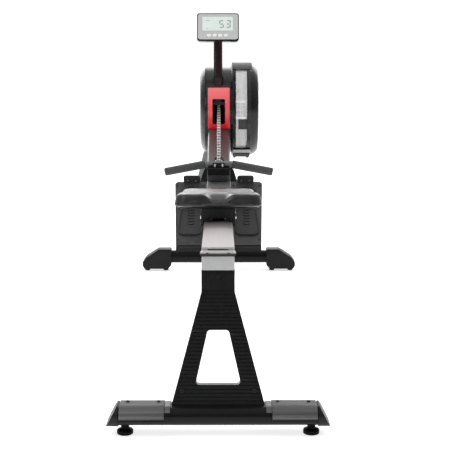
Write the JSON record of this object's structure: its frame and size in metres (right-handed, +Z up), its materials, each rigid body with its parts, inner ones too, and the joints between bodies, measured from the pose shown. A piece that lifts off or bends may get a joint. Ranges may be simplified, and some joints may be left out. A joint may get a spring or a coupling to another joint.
{
  "type": "rowing machine",
  "caption": "Air rowing machine: high sloping aluminium rail, rolling seat, leaning rear leg, side-mounted fan with chain drive, footplates and tilting console.",
  "frame": {"origin": "on the floor, under the middle of the whole machine's box", "axes": "+Y from the rear leg along the rail to the fan; +X to the side that carries the fan; +Z up"},
  "size_m": [0.662, 2.564, 1.1112],
  "materials": {
    "satin_aluminium": "satin brushed",
    "light_grey_plate": "satin",
    "black_rubber": "matte",
    "black_casting": "semi-gloss paint",
    "bright_steel": "polished",
    "gloss_black_metal": "gloss paint",
    "ribbed_aluminium": "satin ribbed",
    "black_moulding": "fine texture",
    "grey_beam": "satin anodised",
    "brushed_neck": "brushed anodised",
    "housing_plastic": "semi-gloss",
    "red_gloss": "high gloss",
    "rotor_metal": "satin",
    "footplate_plastic": "fine texture",
    "webbing": "woven",
    "seat_skin": "semi-gloss vinyl",
    "roller_plastic": "smooth",
    "handle_metal": "satin black",
    "grip_foam": "matte foam",
    "console_silver": "fine satin",
    "lcd_glass": "liquid crystal display",
    "white_button": "satin"
  },
  "bodies": {
    "frame": {"rail": "satin_aluminium", "fan_guard": "satin_aluminium", "rail_end_plate": "light_grey_plate", "rail_end_stop": "light_grey_plate", "leg_brace": "light_grey_plate", "rail_front_stop": "black_rubber", "rear_leg": "black_casting", "front_legs": "black_casting", "mast": "black_casting", "frame_bolts": "bright_steel", "bearings": "bright_steel", "chain": "bright_steel", "rear_beam": "gloss_black_metal", "front_stabilizer": "gloss_black_metal", "console_post": "gloss_black_metal", "rear_pads": "ribbed_aluminium", "rear_caps": "black_moulding", "front_caps": "black_moulding", "handle_rest": "black_moulding", "guard_clamp": "black_moulding", "guard_tray": "black_moulding", "front_beam": "grey_beam", "neck_cover": "brushed_neck", "housing_shell": "housing_plastic", "housing_side_cover": "housing_plastic", "fan_inner_ring": "housing_plastic", "fan_side_cover": "housing_plastic", "chain_port": "red_gloss", "foot_base_left": "footplate_plastic", "foot_base_right": "footplate_plastic", "toe_tabs": "footplate_plastic", "foot_straps": "webbing"},
    "seat": {"seat_cushion": "seat_skin", "seat_pan": "black_moulding", "carriage": "black_moulding", "roller_axles": "bright_steel", "guide_pads": "black_rubber"},
    "rollers_rear": {"rollers_rear": "roller_plastic"},
    "rollers_front": {"rollers_front": "roller_plastic"},
    "handle": {"handle_bar": "handle_metal", "handle_yoke": "handle_metal", "grips": "grip_foam"},
    "sprocket": {"sprocket": "rotor_metal"},
    "return_spool": {"return_spool": "rotor_metal"},
    "fan": {"fan_rotor": "rotor_metal", "axle": "bright_steel"},
    "damper": {"damper": "black_moulding"},
    "console": {"console_case": "black_moulding", "console_face": "console_silver", "console_screen": "lcd_glass"},
    "button_1": {"button_1": "white_button"},
    "button_2": {"button_2": "white_button"},
    "button_3": {"button_3": "white_button"},
    "button_4": {"button_4": "white_button"},
    "heel_cup_left": {"heel_cup_left": "footplate_plastic"},
    "heel_cup_right": {"heel_cup_right": "footplate_plastic"},
    "wheel_left": {"wheel_left": "black_rubber"},
    "wheel_right": {"wheel_right": "black_rubber"},
    "rear_foot_left": {"rear_foot_left": "black_rubber"},
    "rear_foot_right": {"rear_foot_right": "black_rubber"}
  },
  "joints": [
    {"name": "seat_slide", "type": "slide", "parent": "frame", "child": "seat", "axis": [0, 0.9997, -0.0244], "range_m": [-0.45, 0.6]},
    {"name": "rollers_rear_spin", "type": "hinge", "parent": "seat", "child": "rollers_rear", "pos_m": [0, -0.67585, 0.45193], "axis": [1, 0, 0], "range_deg": [-3000, 3000]},
    {"name": "rollers_front_spin", "type": "hinge", "parent": "seat", "child": "rollers_front", "pos_m": [0, -0.54789, 0.4488], "axis": [1, 0, 0], "range_deg": [-3000, 3000]},
    {"name": "handle_pull", "type": "slide", "parent": "frame", "child": "handle", "axis": [0, -0.9848, 0.1736], "range_m": [0, 1.25], "deforming": ["chain"]},
    {"name": "sprocket_spin", "type": "hinge", "parent": "frame", "child": "sprocket", "pos_m": [0, 1.069, 0.682], "axis": [1, 0, 0], "range_deg": [-100, 2000]},
    {"name": "spool_spin", "type": "hinge", "parent": "frame", "child": "return_spool", "pos_m": [0, 1.0811, 0.56], "axis": [1, 0, 0], "range_deg": [-100, 2700]},
    {"name": "fan_spin", "type": "hinge", "parent": "frame", "child": "fan", "pos_m": [0, 1.069, 0.682], "axis": [1, 0, 0], "continuous": true},
    {"name": "damper_turn", "type": "hinge", "parent": "frame", "child": "damper", "pos_m": [0, 1.069, 0.682], "axis": [1, 0, 0], "range_deg": [-14, 14]},
    {"name": "console_tilt", "type": "hinge", "parent": "frame", "child": "console", "pos_m": [-0.003, 0.914, 1.01], "axis": [1, 0, 0], "range_deg": [-15, 20]},
    {"name": "button_1_press", "type": "slide", "parent": "console", "child": "button_1", "axis": [0, 0.9781, -0.2079], "range_m": [0, 0.0012], "stiffness_N_per_m": 400},
    {"name": "button_2_press", "type": "slide", "parent": "console", "child": "button_2", "axis": [0, 0.9781, -0.2079], "range_m": [0, 0.0012], "stiffness_N_per_m": 400},
    {"name": "button_3_press", "type": "slide", "parent": "console", "child": "button_3", "axis": [0, 0.9781, -0.2079], "range_m": [0, 0.0012], "stiffness_N_per_m": 400},
    {"name": "button_4_press", "type": "slide", "parent": "console", "child": "button_4", "axis": [0, 0.9781, -0.2079], "range_m": [0, 0.0012], "stiffness_N_per_m": 400},
    {"name": "heel_cup_left_slide", "type": "slide", "parent": "frame", "child": "heel_cup_left", "axis": [0, 0.7266, 0.6871], "range_m": [-0.012, 0.03]},
    {"name": "heel_cup_right_slide", "type": "slide", "parent": "frame", "child": "heel_cup_right", "axis": [0, 0.7266, 0.6871], "range_m": [-0.012, 0.03]},
    {"name": "wheel_left_spin", "type": "hinge", "parent": "frame", "child": "wheel_left", "pos_m": [-0.272, 0.772, 0.034], "axis": [1, 0, 0], "continuous": true},
    {"name": "wheel_right_spin", "type": "hinge", "parent": "frame", "child": "wheel_right", "pos_m": [0.272, 0.772, 0.034], "axis": [1, 0, 0], "continuous": true},
    {"name": "rear_foot_left_turn", "type": "hinge", "parent": "frame", "child": "rear_foot_left", "pos_m": [-0.2285, -1.239, 0.014], "axis": [0, 0, 1], "range_deg": [-1080, 1080]},
    {"name": "rear_foot_right_turn", "type": "hinge", "parent": "frame", "child": "rear_foot_right", "pos_m": [0.2285, -1.239, 0.014], "axis": [0, 0, 1], "range_deg": [-1080, 1080]}
  ],
  "couplings": [
    {"joint": "rollers_rear_spin", "follows": "seat_slide", "rad_per_m": -83.333},
    {"joint": "rollers_front_spin", "follows": "seat_slide", "rad_per_m": -83.333},
    {"joint": "sprocket_spin", "follows": "handle_pull", "rad_per_m": 23.967},
    {"joint": "spool_spin", "follows": "handle_pull", "rad_per_m": 34.483}
  ]
}
